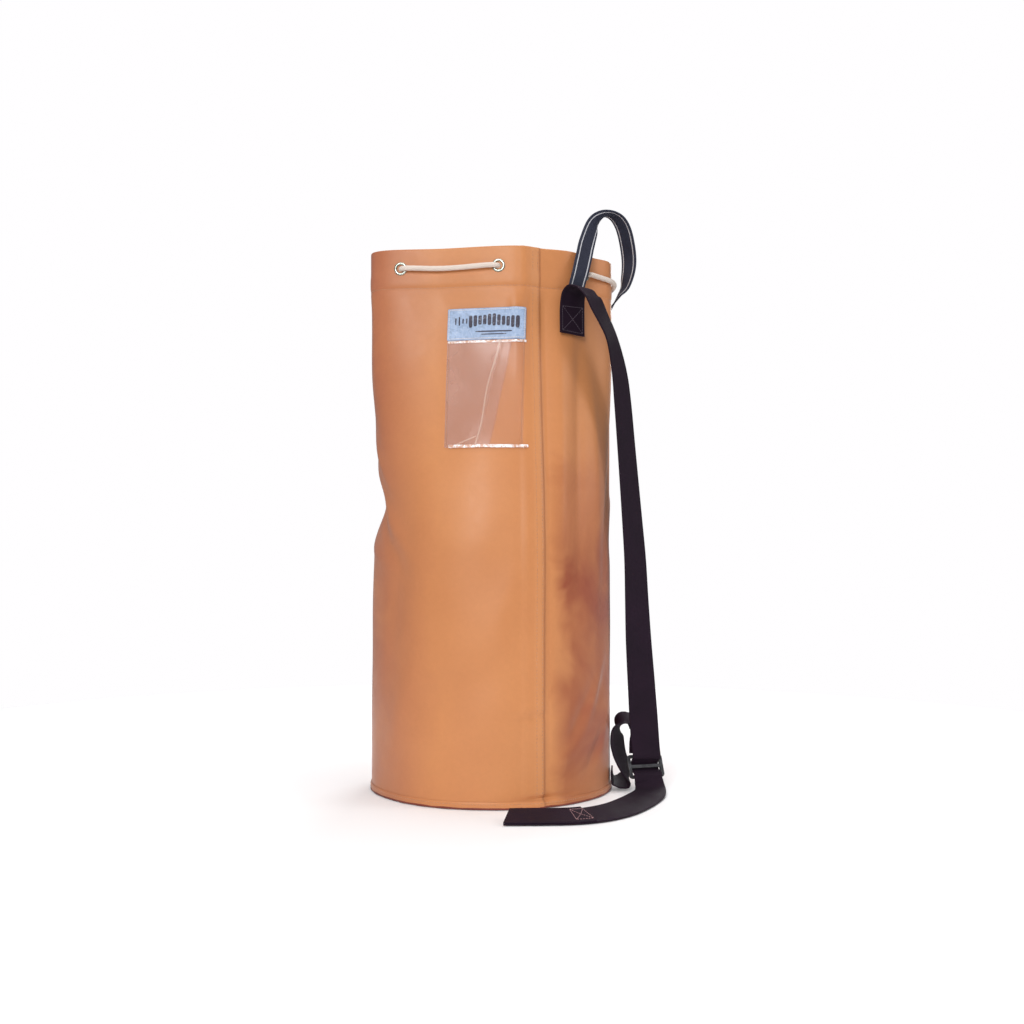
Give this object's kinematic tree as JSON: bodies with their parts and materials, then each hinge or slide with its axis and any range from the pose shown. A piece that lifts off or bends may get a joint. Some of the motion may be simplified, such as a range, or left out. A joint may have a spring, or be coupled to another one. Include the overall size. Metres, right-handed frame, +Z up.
{
  "type": "rope storage bag",
  "caption": "Round drawcord bag of coated fabric for storing rope, with a carry handle, a shoulder strap and an identity pocket.",
  "frame": {"origin": "centre of the base's underside", "axes": "+Z up along the bag, -Y towards the front with the identity pocket, +X towards the shoulder strap"},
  "size_m": [0.377, 0.4423, 0.7324],
  "materials": {
    "coated_fabric": "orange vinyl-coated fabric with a soft sheen",
    "binding": "orange bias binding, dark at the stitch line",
    "grommet_metal": "nickel-plated brass",
    "drawcord": "off-white braided cord",
    "clear_vinyl": "clear flexible vinyl",
    "label_cloth": "pale blue-grey woven label",
    "handle_webbing": "dark navy webbing with pale tracer lines near its edges",
    "strap_webbing": "near-black flat webbing",
    "buckle_plastic": "dark grey moulded plastic",
    "lock_plastic": "black moulded plastic",
    "spring_steel": "bright spring wire"
  },
  "bodies": {
    "bag": {"body_panel": "coated_fabric", "base_panel": "coated_fabric", "base_binding": "binding", "grommet_1": "grommet_metal", "grommet_2": "grommet_metal", "grommet_3": "grommet_metal", "grommet_4": "grommet_metal", "grommet_5": "grommet_metal", "grommet_6": "grommet_metal", "grommet_7": "grommet_metal", "grommet_8": "grommet_metal", "grommet_washer_1": "grommet_metal", "grommet_washer_2": "grommet_metal", "grommet_washer_3": "grommet_metal", "grommet_washer_4": "grommet_metal", "grommet_washer_5": "grommet_metal", "grommet_washer_6": "grommet_metal", "grommet_washer_7": "grommet_metal", "grommet_washer_8": "grommet_metal", "drawcord": "drawcord", "cord_end_knot": "drawcord", "id_window": "clear_vinyl", "id_label": "label_cloth", "handle_front_end": "handle_webbing", "handle_rear_end": "handle_webbing", "handle_front_backing": "coated_fabric", "handle_rear_backing": "coated_fabric", "strap_sewn_end": "strap_webbing", "anchor_root": "strap_webbing"},
    "handle": {"carry_handle": "handle_webbing"},
    "strap": {"shoulder_strap": "strap_webbing", "buckle": "buckle_plastic", "anchor_strap": "strap_webbing"},
    "tail": {"strap_tail": "strap_webbing"},
    "cord_lock": {"cord_lock_barrel": "lock_plastic", "cord_lock_spring": "spring_steel"},
    "lock_button": {"cord_lock_button": "lock_plastic"}
  },
  "joints": [
    {"name": "handle_swing", "type": "hinge", "parent": "bag", "child": "handle", "pos_m": [0.1325, -0.0102, 0.625], "axis": [0.4181, 0.9084, 0], "range_deg": [0, 60]},
    {"name": "strap_swing", "type": "hinge", "parent": "bag", "child": "strap", "pos_m": [0.1673, -0.021, 0.0085], "axis": [-0.0741, -0.1141, 0.9907], "range_deg": [0, 14]},
    {"name": "tail_lift", "type": "hinge", "parent": "strap", "child": "tail", "pos_m": [0.1955, -0.037, 0.022], "axis": [-0.9511, -0.309, 0], "range_deg": [0, 35]},
    {"name": "cord_lock_slide", "type": "slide", "parent": "bag", "child": "cord_lock", "axis": [0, 0, -1], "range_m": [0, 0.058]},
    {"name": "lock_button_press", "type": "slide", "parent": "cord_lock", "child": "lock_button", "axis": [0.9722, -0.2342, 0], "range_m": [0, 0.0038], "stiffness_N_per_m": 1500, "springref_m": -0.001}
  ]
}
